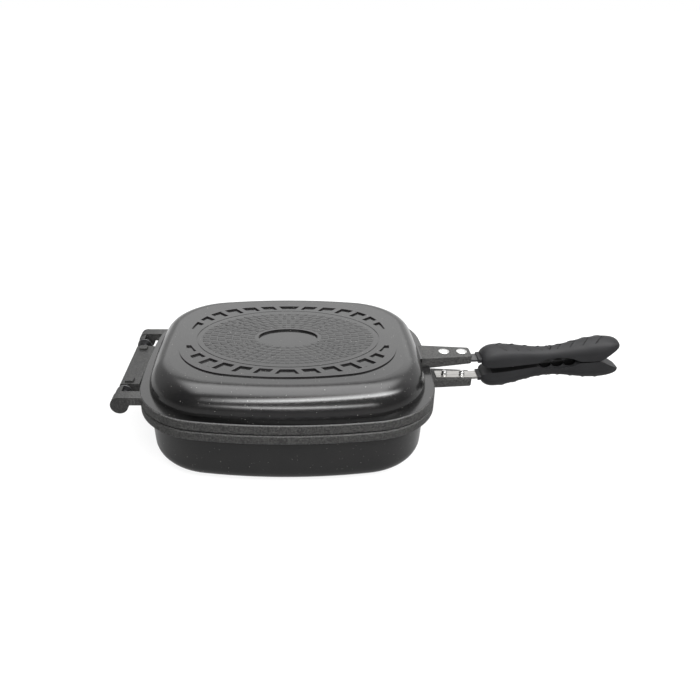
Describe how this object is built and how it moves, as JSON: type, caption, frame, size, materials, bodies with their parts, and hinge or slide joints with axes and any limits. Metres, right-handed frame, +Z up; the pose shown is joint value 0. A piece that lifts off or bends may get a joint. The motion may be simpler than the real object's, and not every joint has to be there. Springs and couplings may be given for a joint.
{
  "type": "double sided flip pan",
  "caption": "Double sided flip pan, shut: two cast half pans hinged at one end, with a split rounded handle and embossed stove faces.",
  "frame": {"origin": "on the ground, under the middle of the closed pan", "axes": "+X from the hinge to the handles, +Y to the back, +Z up"},
  "size_m": [0.5187, 0.2538, 0.101],
  "materials": {
    "coated_casting": "satin",
    "grip_plastic": "matte",
    "strap_steel": "satin",
    "rivet_aluminium": "polished",
    "pin_steel": "satin",
    "magnet_nickel": "polished",
    "seal_rubber": "matte"
  },
  "bodies": {
    "lower_half": {"lower_pan": "coated_casting", "hinge_pin_front": "pin_steel", "hinge_pin_back": "pin_steel", "hinge_washer_front": "pin_steel", "hinge_washer_back": "pin_steel", "lower_handle_strap": "strap_steel", "lower_rivet_inner": "rivet_aluminium", "lower_rivet_outer": "rivet_aluminium", "lower_grip": "grip_plastic", "lower_grip_screw": "pin_steel", "lower_grip_magnet": "magnet_nickel"},
    "upper_half": {"upper_pan": "coated_casting", "rim_gasket": "seal_rubber", "upper_handle_strap": "strap_steel", "upper_rivet_inner": "rivet_aluminium", "upper_rivet_outer": "rivet_aluminium", "upper_grip": "grip_plastic", "upper_grip_screw": "pin_steel", "upper_grip_magnet": "magnet_nickel"}
  },
  "joints": [
    {"name": "pan_hinge", "type": "hinge", "parent": "lower_half", "child": "upper_half", "pos_m": [-0.162, 0, 0.064], "axis": [0, -1, 0], "range_deg": [0, 180]}
  ]
}
